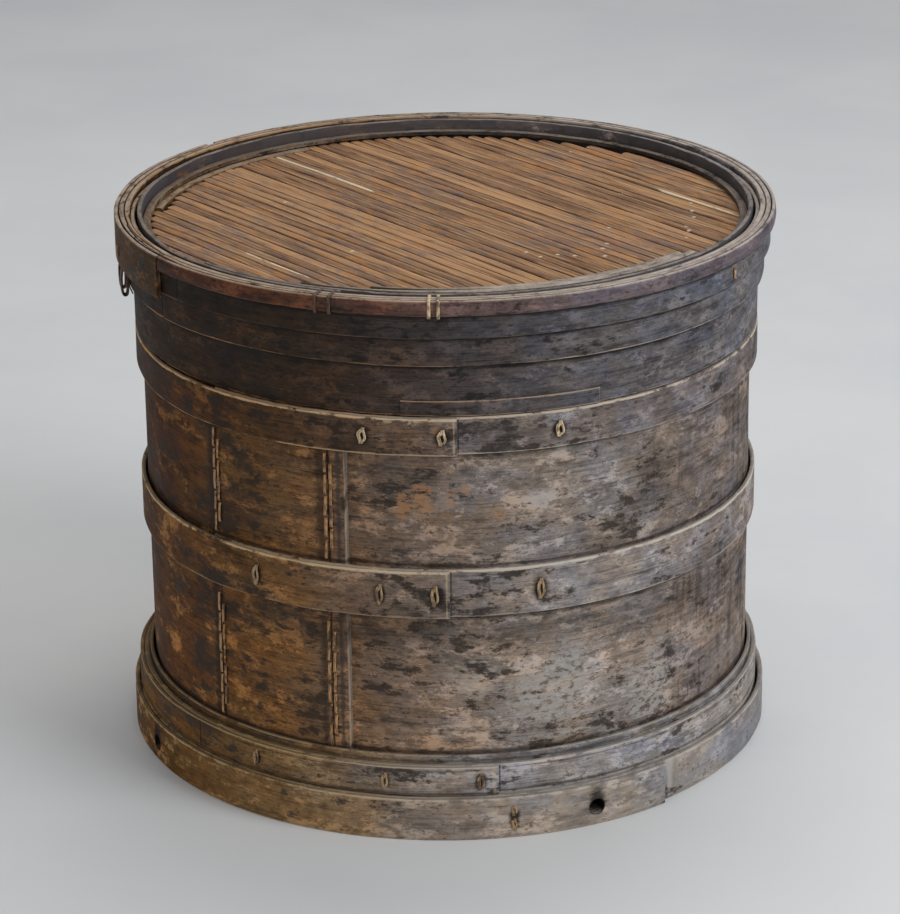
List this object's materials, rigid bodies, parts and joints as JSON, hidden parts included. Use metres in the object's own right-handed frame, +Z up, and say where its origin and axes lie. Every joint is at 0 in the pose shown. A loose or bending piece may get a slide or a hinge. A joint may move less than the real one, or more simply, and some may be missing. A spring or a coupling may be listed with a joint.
{
  "type": "steamer basket",
  "caption": "Tall round steamer of bent sheet and split bamboo hoops, sewn with cane, with a recessed slatted floor at one end and an open mouth at the other.",
  "frame": {"origin": "centre of the mouth, on the ground plane the basket stands on", "axes": "+Z up along the wall's axis from the mouth to the slatted floor; -Y is the front, where the outer ends of the hoops are lapped and stitched; +X is to the right seen from the front"},
  "size_m": [0.542, 0.5432, 0.4512],
  "materials": {
    "bent_sheet": "worn, dry",
    "hoop_bamboo": "worn, dry",
    "sooted_bamboo": "smoked, soft sheen",
    "split_bamboo": "dry",
    "batten_bamboo": "dry",
    "cane": "dry"
  },
  "bodies": {
    "root": {"band_patch": "sooted_bamboo", "base_hoop": "hoop_bamboo", "base_hoop_stitches": "cane", "cane_loops": "cane", "cross_batten_left": "batten_bamboo", "cross_batten_middle": "batten_bamboo", "cross_batten_right": "batten_bamboo", "first_band": "sooted_bamboo", "floor_edge_filler": "split_bamboo", "floor_ledge_hoop": "sooted_bamboo", "floor_pegs": "split_bamboo", "floor_pins": "split_bamboo", "floor_slats_01": "split_bamboo", "floor_slats_02": "split_bamboo", "floor_slats_03": "split_bamboo", "floor_slats_04": "split_bamboo", "floor_slats_05": "split_bamboo", "floor_slats_06": "split_bamboo", "floor_slats_07": "split_bamboo", "floor_slats_08": "split_bamboo", "floor_slats_09": "split_bamboo", "floor_slats_10": "split_bamboo", "floor_support_hoop": "batten_bamboo", "foot_backing_hoop": "hoop_bamboo", "foot_hoop": "hoop_bamboo", "foot_strip_front": "hoop_bamboo", "foot_strip_left": "hoop_bamboo", "foot_strip_stitches": "cane", "loose_strip": "cane", "middle_hoop": "hoop_bamboo", "middle_hoop_stitches": "cane", "rim_end_band": "sooted_bamboo", "rim_hoop": "sooted_bamboo", "rim_lashing_front": "cane", "rim_lashing_left": "cane", "rim_packing_inner": "sooted_bamboo", "rim_packing_outer": "sooted_bamboo", "rim_stitches": "cane", "seam_stitches_left": "cane", "seam_stitches_right": "cane", "second_band": "sooted_bamboo", "shell_sheet": "bent_sheet", "third_band": "sooted_bamboo", "upper_hoop": "hoop_bamboo", "upper_hoop_stitches": "cane"}
  },
  "joints": []
}
